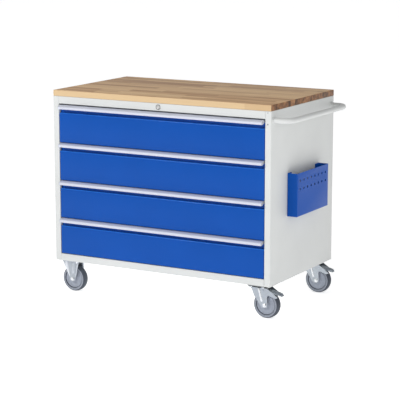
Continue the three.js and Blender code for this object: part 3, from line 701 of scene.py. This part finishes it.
def make_back_panel():
    low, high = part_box("back_panel")
    section = [(low.y, low.z + HALF), (high.y - HALF, low.z + HALF, FOLD),
               (high.y - HALF, high.z - HALF, FOLD), (low.y, high.z - HALF)]
    bm = bmesh.new()
    add_prism(bm, sheet_outline(section), "x", low.x, high.x)
    stand_in("back_panel", bm, GREY_PAINT, edge=SHEET_EDGE)


def make_flange_plugs():
    """Two small plugs in the front flange on the handle's side."""
    low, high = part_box("side_panel_right")
    bm = bmesh.new()
    for depth, radius in FLANGE_PLUGS:
        dome = [(0, low.y - 0.0009), (radius * 0.6, low.y - 0.0007), (radius, low.y), (0.0, low.y + 0.0005)]
        add_lathe(bm, dome, (low.x + PLUG_FROM_EDGE, 0, high.z - depth), "y", 24)
    new_piece("flange_plugs", bm, DARK_PLASTIC, "cabinet")


# Drawers

def make_drawer_front(number):
    node = f"drawer_{number}_front"
    low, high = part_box(node)
    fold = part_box(f"drawer_{number}_grip")[1].z - FRONT_BELOW_GRIP
    bm = bmesh.new()
    add_shell(bm, low, (high.x, high.y, fold), (0, 1, 0), radius=FRONT_FOLD)
    add_box(bm, (low.x, high.y - SHEET, fold - SHEET), (high.x, high.y, high.z), SHEET_EDGE, 1)
    stand_in(node, bm, BLUE_PAINT)


def grip_section(low, high):
    """The middle of the strip's wall: up behind the fingers, over them and down into the lip."""
    half = GRIP_WALL / 2
    top = high.z - half
    front = low.y + half
    return [(high.y - half, top - 0.011), (high.y - half, top, 0.0012), (low.y + 0.0165, top, 0.020),
            (front, top - 0.0068, 0.011), (front, low.z + GRIP_LIP)]


def make_grip(number):
    node = f"drawer_{number}_grip"
    low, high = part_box(node)
    section = grip_section(low, high)
    left, right = low.x + GRIP_INSET, high.x - GRIP_INSET
    near, far = left + CAP_WIDTH, right - CAP_WIDTH
    bm = bmesh.new()
    add_prism(bm, sheet_outline(section, GRIP_WALL, steps=10), "x", near, far)
    lip = circle(GRIP_LIP, 14, (low.y + GRIP_LIP, low.z + GRIP_LIP))
    add_prism(bm, lip, "x", near, far)
    stand_in(node, bm, ALUMINIUM, edge=0.0002)
    caps = bmesh.new()
    wall = without_doubles([point + Vector((-tangent.y, tangent.x)) * -GRIP_WALL / 2
                            for point, tangent in filleted(section, steps=10)])
    web = [Vector((low.y + 0.0005, low.z)), Vector((low.y + 0.010, low.z)),
           Vector((high.y - 0.010, high.z - 0.012)), Vector((high.y - GRIP_WALL, high.z - 0.012))]
    for start, end in ((left, near - CAP_GAP), (far + CAP_GAP, right)):
        add_prism(caps, without_doubles(wall + web), "x", start, end)
    drawer = f"drawer_{number}"
    new_piece(f"{drawer}_grip_caps", caps, CAP_PLASTIC, drawer, edge=SHEET_EDGE)


def make_pan(number):
    """The steel tray with hemmed rims, its slide profiles and the lock's hook."""
    node = f"drawer_{number}_pan"
    low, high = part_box(node)
    rail_low, rail_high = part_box(f"middle_rail_{number}_right")
    wall = PAN_HALF_WIDTH - HALF
    middle = sum(corner.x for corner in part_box(f"drawer_{number}_front")) / 2
    left, right = middle - wall, middle + wall
    bm = bmesh.new()
    section = [(left + PAN_HEM, high.z - HALF), (left, high.z - HALF, FOLD), (left, low.z + HALF, FOLD),
               (right, low.z + HALF, FOLD), (right, high.z - HALF, FOLD), (right - PAN_HEM, high.z - HALF)]
    add_prism(bm, sheet_outline(section), "y", low.y + SHEET, high.y - SHEET)
    for y, inward in ((low.y + HALF, 1), (high.y - HALF, -1)):
        end = [(y + inward * PAN_HEM, high.z - HALF), (y, high.z - HALF, FOLD), (y, low.z + HALF, FOLD),
               (y + inward * 0.012, low.z + HALF + SHEET)]
        add_prism(bm, sheet_outline(end), "x", left - HALF, right + HALF)
    centre = (rail_low.z + rail_high.z) / 2
    for side in (-1, 1):
        start, reach = (middle + side * distance for distance in SLIDE_REACH)
        web = start + side * SLIDE_WALL / 2
        inner_half = SLIDE_HALF_HEIGHT - SLIDE_WALL / 2
        rail = [(reach, centre + SLIDE_HALF_HEIGHT), (web, centre + inner_half, 0.0015),
                (web, centre - inner_half, 0.0015), (reach, centre - SLIDE_HALF_HEIGHT)]
        add_prism(bm, sheet_outline(rail, SLIDE_WALL), "y", rail_low.y, high.y)
    hook_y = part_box("lock_bar")[1].y + 0.001
    add_box(bm, (right, hook_y, high.z - 0.036), (high.x, hook_y + 0.005, high.z - 0.024), 0.0008)
    stand_in(node, bm, GREY_PAINT, edge=SHEET_EDGE)


# Lock

def make_lock():
    low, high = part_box("lock_housing")
    centre = (low + high) / 2
    axis = (centre.x, 0, centre.z)
    bm = bmesh.new()
    ring = [(0.0088, high.y), (0.0088, low.y + 0.0012), (0.0094, low.y + 0.0005), (0.0100, low.y),
            (0.0113, low.y), (0.0120, low.y + 0.0007), (0.0120, low.y + 0.0022), (0.0108, low.y + 0.0023),
            (0.0108, high.y)]
    add_lathe(bm, ring, axis, segments=64, closed=True)
    stand_in("lock_housing", bm, LOCK_METAL)

    low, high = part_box("lock_plug")
    bm = bmesh.new()
    cam_back = high.y
    face = low.y + 0.0008
    plug = [(0, face), (0.0045, face), (0.0052, face + 0.0004), (0.0060, face), (0.0078, face),
            (0.0084, face + 0.0006), (0.0084, cam_back - 0.003), (0, cam_back - 0.003)]
    add_lathe(bm, plug, axis, segments=64)
    piece = stand_in("lock_plug", bm, PLUG_METAL)
    cutter = bmesh.new()
    add_box(cutter, (centre.x - 0.0042, face - 0.002, centre.z - 0.0009),
            (centre.x + 0.0042, face + 0.005, centre.z + 0.0009))
    cut_holes(piece, cutter)
    cam = bmesh.new()
    add_box(cam, (centre.x - 0.005, cam_back - 0.0031, low.z), (centre.x + 0.005, cam_back, high.z), 0.0008)
    add_hex(cam, axis, "y", 0.004, cam_back, cam_back + 0.002)
    new_piece("lock_cam", cam, BOLT_STEEL, "lock_plug")


# Push handle and tool pocket

def make_push_handle():
    low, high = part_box("push_handle")
    radius = (high.z - low.z) / 2
    height = (high.z + low.z) / 2
    outer = high.x - radius
    near, far = low.y + radius, high.y - radius
    corners = [(low.x, near), (outer, near, HANDLE_BEND), (outer, far, HANDLE_BEND), (low.x, far)]
    points = without_doubles([point for point, _ in filleted(corners, steps=16)])
    path = [Vector((point.x, point.y, height)) for point in points]
    bm = bmesh.new()
    add_tube(bm, path, radius, 40)
    for y in (near, far):
        collar = [(radius + 0.0001, low.x), (0.0165, low.x), (0.0162, low.x + 0.0012),
                  (0.0145, low.x + 0.0022), (radius + 0.0001, low.x + 0.0030)]
        add_lathe(bm, collar, (0, y, height), "x", 40, closed=True)
    stand_in("push_handle", bm, GREY_PAINT)


def make_tool_pocket():
    low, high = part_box("tool_pocket")
    bm = bmesh.new()
    add_shell(bm, low, high, (0, 0, 1))
    pocket = stand_in("tool_pocket", bm, BLUE_PAINT, edge=SHEET_EDGE)
    cutters = bmesh.new()
    near, far, bottom = low.y + POCKET_FLANGE, high.y - POCKET_FLANGE, low.z + POCKET_FLANGE
    window = [(near, bottom, 0.004), (far, bottom, 0.004), (far, high.z + 0.01), (near, high.z + 0.01)]
    add_prism(cutters, outline(window), "x", low.x - 0.01, low.x + 0.01)
    middle = (low.y + high.y) / 2
    half = POCKET_HOLE_HALF
    for row in POCKET_HOLE_ROWS:
        for column in range(POCKET_HOLES_PER_ROW):
            y = middle + (column - (POCKET_HOLES_PER_ROW - 1) / 2) * POCKET_HOLE_PITCH
            z = high.z - row
            square = [(y + u * half, z + v * half, 0.0008) for u, v in CORNERS]
            add_prism(cutters, outline(square, steps=2), "x", high.x - 0.01, high.x + 0.01)
    cut_holes(pocket, cutters)


# Casters

def add_u_bend(bm, centre_y, near, far, top):
    """The bent top of a fork, from one cheek over the wheel to the other."""
    thickness = CHEEK_OUTER - CHEEK_INNER
    half = thickness / 2
    side = CHEEK_OUTER - 0.0001 - half
    bottom = top - 0.008
    corners = [(centre_y - side, bottom), (centre_y - side, top - half, 0.005),
               (centre_y + side, top - half, 0.005), (centre_y + side, bottom)]
    add_prism(bm, sheet_outline(corners, thickness), "x", near, far)


def add_cheeks(bm, centre_y, corners):
    """Two pressed cheeks of the same outline in X and Z, one on each side of the wheel."""
    for side in (-1, 1):
        add_prism(bm, outline(corners), "y", centre_y + side * CHEEK_INNER, centre_y + side * CHEEK_OUTER)


def cheek_foot(centre):
    """The rounded end of a cheek, round the axle."""
    bottom = centre.z - 0.013
    return [(centre.x - CHEEK_FOOT, bottom, 0.0128), (centre.x + CHEEK_FOOT, bottom, 0.0128)]


def grid_sheet(rows, thickness, outward):
    """A curved sheet through rows of points, thickened, with its top side facing outward."""
    sheet = bmesh.new()
    rows = [[sheet.verts.new(point) for point in row] for row in rows]
    for first, second in zip(rows, rows[1:]):
        for a, b, c, d in zip(first, first[1:], second[1:], second):
            sheet.faces.new((a, b, c, d))
    bmesh.ops.recalc_face_normals(sheet, faces=sheet.faces)
    if sum(face.normal.dot(outward) for face in sheet.faces) < 0:
        bmesh.ops.reverse_faces(sheet, faces=sheet.faces)
    bmesh.ops.solidify(sheet, geom=sheet.faces[:], thickness=thickness)
    return sheet


def add_flare(bm, centre, side_x, side_y, foot, top):
    """A curled flange along one edge of a cheek: nothing near the axle, full width on top.

    foot and top are the two ends of the cheek's edge, each as a distance in x from the wheel's
    centre and a height."""
    rows = []
    thickness = 0.0028
    plane = CHEEK_OUTER - thickness / 2
    for step in range(17):
        t = step / 16
        edge = foot[0] + (top[0] - foot[0]) * t
        z = foot[1] + (top[1] - foot[1]) * t
        radius = (FLARE_REACH * t ** 0.9 + 0.0004) / FLARE_TURN
        row = []
        for column in range(9):
            turn = FLARE_TURN * column / 8
            x = edge - 0.001 + radius * math.sin(turn)
            y = plane + radius * (1 - math.cos(turn))
            row.append((centre.x + side_x * x, centre.y + side_y * y, z))
        rows.append(row)
    merge_in(bm, grid_sheet(rows, thickness, Vector((0, side_y, 0))))


def add_plate(bm, low, high):
    """The caster's mounting plate."""
    rectangle = [(x, y, PLATE_CORNER) for x, y in
                 ((low.x, low.y), (high.x, low.y), (high.x, high.y), (low.x, high.y))]
    add_prism(bm, outline(rectangle), "z", high.z - PLATE_THICKNESS, high.z)


def make_plate_bolts(place, centre, under):
    bm = bmesh.new()
    for side_x in (-1, 1):
        for side_y in (-1, 1):
            spot = (centre.x + side_x * BOLT_FROM_MIDDLE[0], centre.y + side_y * BOLT_FROM_MIDDLE[1], 0)
            washer = [(0, under), (0.0082, under), (0.0082, under - 0.0014), (0, under - 0.0014)]
            add_lathe(bm, washer, spot, "z", 28)
            add_hex(bm, spot, "z", 0.0075, under - 0.0014, under - 0.0066)
    new_piece(f"plate_bolts_{place}", bm, ZINC, "cabinet")


def wheel_centre(place):
    low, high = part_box(f"tyre_{place}")
    return (low + high) / 2


def make_fixed_caster(place):
    node = f"caster_bracket_{place}"
    low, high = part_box(node)
    centre = wheel_centre(place)
    under = high.z - PLATE_THICKNESS
    bm = bmesh.new()
    add_plate(bm, low, high)
    half = FIXED_CHEEK_HALF
    corners = [(centre.x - half, under), *cheek_foot(centre), (centre.x + half, under)]
    add_cheeks(bm, centre.y, corners)
    add_u_bend(bm, centre.y, centre.x - half, centre.x + half, under - 0.0003)
    for side_x in (-1, 1):
        for side_y in (-1, 1):
            add_flare(bm, centre, side_x, side_y, (0.0135, centre.z + 0.004), (half, under))
    add_bead(bm, centre.y, (centre.x, centre.z + 0.030), (centre.x, under - 0.010))
    stand_in(node, bm, ZINC, edge=0.0006)
    make_plate_bolts(place, centre, under)
    make_axle(place, centre)


def add_bead(bm, centre_y, low, high):
    """A pressed stiffening bead between two (x, z) points, standing proud of both cheeks."""
    low, high = Vector((low[0], 0, low[1])), Vector((high[0], 0, high[1]))
    reach = (high - low).length / 2
    turn = Vector((0, 0, 1)).rotation_difference(high - low)
    for side in (-1, 1):
        rod = bmesh.new()
        bmesh.ops.create_uvsphere(rod, u_segments=20, v_segments=12, radius=0.0050)
        for vert in rod.verts:
            vert.co.z += reach * (1 if vert.co.z > 0 else -1)
            vert.co.y *= 0.52
            vert.co.rotate(turn)
        spot = (low + high) / 2 + Vector((0, centre_y + side * 0.0270, 0))
        bmesh.ops.translate(rod, verts=rod.verts, vec=spot)
        merge_in(bm, rod)


def make_axle(place, centre):
    """A hexagon bolt through the wheel, with a washer and a nut."""
    node = f"axle_{place}"
    low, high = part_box(node)
    axis = (centre.x, 0, centre.z)
    bm = bmesh.new()
    head, end = low.y + 0.006, low.y
    shaft = [(0, high.y - 0.0008), (0.0036, high.y - 0.0008), (0.0040, high.y - 0.0014),
             (0.0040, head), (0, head)]
    add_lathe(bm, shaft, axis, "y", 24)
    for inner, outward, far in ((head, -1, end), (high.y - 0.006, 1, high.y - 0.0012)):
        washer = [(0.0, inner), (0.0092, inner), (0.0095, inner + outward * 0.0004),
                  (0.0092, inner + outward * 0.0013), (0.0, inner + outward * 0.0013)]
        add_lathe(bm, washer, axis, "y", 32)
        add_hex(bm, axis, "y", 0.0075, inner + outward * 0.0013, far)
    stand_in(node, bm, BOLT_STEEL, edge=0.0002)


def add_wheel_ring(node, half, middle, centre, material, angle):
    """A ring turned from half a profile, its mirror image and the points between them."""
    profile = half + middle + [(r, -y) for r, y in half[::-1]]
    bm = bmesh.new()
    add_lathe(bm, profile, centre, "y", 96, closed=True)
    stand_in(node, bm, material, angle=angle)


def make_wheel(place):
    centre = wheel_centre(place)
    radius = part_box(f"tyre_{place}")[1].z - centre.z
    tread = [(radius, TREAD_HALF_WIDTH), (radius, 0.0), (radius, -TREAD_HALF_WIDTH)]
    add_wheel_ring(f"tyre_{place}", TYRE_HALF, tread, centre, TREAD, 50)
    add_wheel_ring(f"rim_{place}", RIM_HALF, [], centre, RIM_PLASTIC, 35)


def make_swivel_caster(place):
    plate_low, plate_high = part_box(f"caster_plate_{place}")
    swivel = (plate_low + plate_high) / 2
    under = plate_high.z - PLATE_THICKNESS
    fork_low, fork_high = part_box(f"caster_fork_{place}")
    crown = fork_high.z
    bm = bmesh.new()
    add_plate(bm, plate_low, plate_high)
    race = [(0, under + 0.0004), (0.0335, under + 0.0004), (0.0345, under - 0.0010),
            (0.0340, under - 0.0046), (0.0310, under - 0.0066), (0.0270, crown + 0.0003),
            (0, crown + 0.0003)]
    add_lathe(bm, race, (swivel.x, swivel.y, 0), "z", 64)
    stud = [(0, crown + 0.001), (0.0060, crown + 0.001), (0.0060, crown - 0.0032), (0.0095, crown - 0.0033),
            (0.0095, crown - 0.0066), (0.0080, crown - 0.0082), (0, crown - 0.0084)]
    add_lathe(bm, stud, (swivel.x, swivel.y, 0), "z", 40)
    # The swivel plate and race take the near-black zinc, a painted shade.
    stand_in(f"caster_plate_{place}", bm, SHADED_PLATE_STEEL, edge=SHEET_EDGE)
    make_plate_bolts(place, swivel, under)

    centre = wheel_centre(place)
    bm = bmesh.new()
    back, front = fork_low.x, swivel.x + SWIVEL_CROWN_FRONT
    corners = [(back + 0.001, crown - 0.001), (swivel.x - 0.020, crown - 0.038, 0.018),
               *cheek_foot(centre), (front, crown - 0.030, 0.009), (swivel.x + 0.086, crown - 0.044, 0.007),
               (fork_high.x + 0.001, crown - 0.038, 0.003), (swivel.x + 0.073, crown - 0.019, 0.018),
               (front, crown - 0.001)]
    add_cheeks(bm, centre.y, corners)
    add_u_bend(bm, centre.y, back, front, crown)
    stand_in(f"caster_fork_{place}", bm, ZINC, edge=0.0006)
    # The beads take the bright bolt zinc, a painted highlight standing for the light stripe along the fork's bend.
    bead = bmesh.new()
    add_bead(bead, centre.y, (swivel.x + 0.019, centre.z + 0.020), (swivel.x + 0.004, crown - 0.006))
    new_piece(f"fork_beads_{place}", bead, BOLT_STEEL, f"fork_{place}", angle=60)
    make_axle(place, centre)
    make_pedal(place)


def make_pedal(place):
    """A bent, ribbed foot plate on a cross pin, narrower at its stem and tip."""
    node = f"brake_pedal_{place}"
    low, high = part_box(node)
    pivot = Vector(JOINT[f"brake_{place}"]["pos_m"])
    middle = (low.y + high.y) / 2
    top = [(pivot.x - 0.007, pivot.z + 0.001), (pivot.x + 0.012, pivot.z + 0.001, 0.006),
           (pivot.x + 0.082, pivot.z - 0.0165, 0.004), (pivot.x + 0.087, pivot.z - 0.024)]
    path = filleted(top, steps=4)
    dense = []
    for (start, tangent), (end, _) in zip(path, path[1:]):
        count = 16 if (end - start).length > 0.03 else 2
        dense += [(start.lerp(end, step / count), tangent) for step in range(count)]
    dense.append(path[-1])

    def half_width(x):
        t = min(max((x - pivot.x - 0.020) / 0.022, 0.0), 1.0)
        wide = 0.0195 + (0.0232 - 0.0195) * t * t * (3 - 2 * t)
        near_tip = max(0.0, 1 - (pivot.x + 0.090 - x) / 0.026)
        return wide - 0.0125 * near_tip ** 1.2

    rows = []
    for point, tangent in dense:
        normal = Vector((-tangent.y, 0, tangent.x))
        half = half_width(point.x)
        row = []
        for step in range(-9, 10):
            across = step / 9
            droop = 0.004 * max(0.0, (abs(across) - 0.82) / 0.18) ** 2
            row.append(Vector((point.x, middle + across * half, point.y)) - normal * droop)
        rows.append(row)
    bm = grid_sheet(rows, 0.0022, Vector((0, 0, 1)))
    for rib in range(5):
        x = pivot.x + 0.044 + rib * 0.0078
        z = pivot.z + 0.001 - (x - pivot.x - 0.012) * 0.25 + 0.0006
        rod = [(0, middle - 0.017), (0.0014, middle - 0.016), (0.0014, middle + 0.016), (0, middle + 0.017)]
        add_lathe(bm, rod, (x, 0, z), "y", 12)
    pin_low = pivot.y - 0.0285
    pin = [(0, pin_low), (0.0027, pin_low), (0.0030, pin_low + 0.0004), (0.0030, pivot.y + 0.0281),
           (0.0027, pivot.y + 0.0285), (0, pivot.y + 0.0285)]
    add_lathe(bm, pin, (pivot.x, 0, pivot.z), "y", 20)
    stand_in(node, bm, PEDAL_STEEL, edge=SHEET_EDGE)


# Kept CAD nodes

def dress_cad_node(node, material):
    mesh_object = NODES[node]
    mesh_object.data.materials.clear()
    mesh_object.data.materials.append(material)
    soften_edges(mesh_object, SHEET_EDGE)


# Studio

def make_studio():
    bm = bmesh.new()
    bm.faces.new([bm.verts.new((x * FLOOR_HALF, y * FLOOR_HALF, 0)) for x, y in CORNERS])
    floor = bpy.data.objects.new("floor", mesh_of(bm, "floor"))
    bpy.context.collection.objects.link(floor)
    material = new_material("studio floor", Base_Color=(0.9, 0.9, 0.9, 1), Roughness=0.9,
                            Emission_Color=(1, 1, 1, 1), Emission_Strength=0.62)[0]
    floor.data.materials.append(material)

    world = bpy.data.worlds.new("studio")
    bpy.context.scene.world = world
    world.use_nodes = True
    tree = world.node_tree
    direction = add_node(tree, "TexCoord").outputs["Generated"]
    height = add_node(tree, "SeparateXYZ", {0: direction}).outputs["Z"]
    sky = ramp(tree, height, (0.0, (0.55, 0.55, 0.55)), (0.20, (0.50, 0.50, 0.50)),
               (1.0, (0.36, 0.36, 0.37)))
    seen = add_node(tree, "LightPath").outputs["Is Camera Ray"]
    tree.links.new(mix(tree, seen, sky, (1.0, 1.0, 1.0)), tree.nodes["Background"].inputs["Color"])

    for name, position, target, size, power in LIGHTS:
        light = bpy.data.lights.new(name, "AREA")
        light.shape = "SQUARE"
        light.size = size
        light.energy = power
        lamp = bpy.data.objects.new(name, light)
        lamp.location = position
        lamp.rotation_euler = (Vector(target) - Vector(position)).to_track_quat("-Z", "Y").to_euler()
        bpy.context.collection.objects.link(lamp)


def make_camera():
    """A long lens from the right front, a little above the worktop."""
    azimuth, drop = math.radians(CAMERA_AZIMUTH), math.radians(CAMERA_DROP)
    level = math.cos(drop)
    forward = Vector((-math.sin(azimuth) * level, math.cos(azimuth) * level, -math.sin(drop)))
    camera = bpy.data.cameras.new("camera")
    camera.sensor_width = 36.0
    camera.lens = CAMERA_LENS
    camera.clip_end = 200.0
    eye = bpy.data.objects.new("camera", camera)
    eye.location = CAMERA_POSITION
    eye.rotation_euler = forward.to_track_quat("-Z", "Y").to_euler()
    bpy.context.collection.objects.link(eye)
    scene = bpy.context.scene
    scene.camera = eye
    scene.view_settings.view_transform = "Standard"


make_worktop()
for side_name in SIDES:
    make_side_panel(side_name)
make_front_top_rail()
make_base_panel()
make_back_panel()
make_flange_plugs()
for number in DRAWERS:
    make_drawer_front(number)
    make_grip(number)
    make_pan(number)
    for side_name in SIDES:
        dress_cad_node(f"cabinet_rail_{number}_{side_name}", SLIDE_STEEL)
        dress_cad_node(f"middle_rail_{number}_{side_name}", SLIDE_STEEL)
dress_cad_node("lock_bar", ZINC)
make_lock()
make_push_handle()
make_tool_pocket()
for end in ENDS:
    make_fixed_caster(f"{end}_left")
    make_swivel_caster(f"{end}_right")
    for side_name in SIDES:
        make_wheel(f"{end}_{side_name}")
make_studio()
make_camera()

bpy.context.view_layer.update()
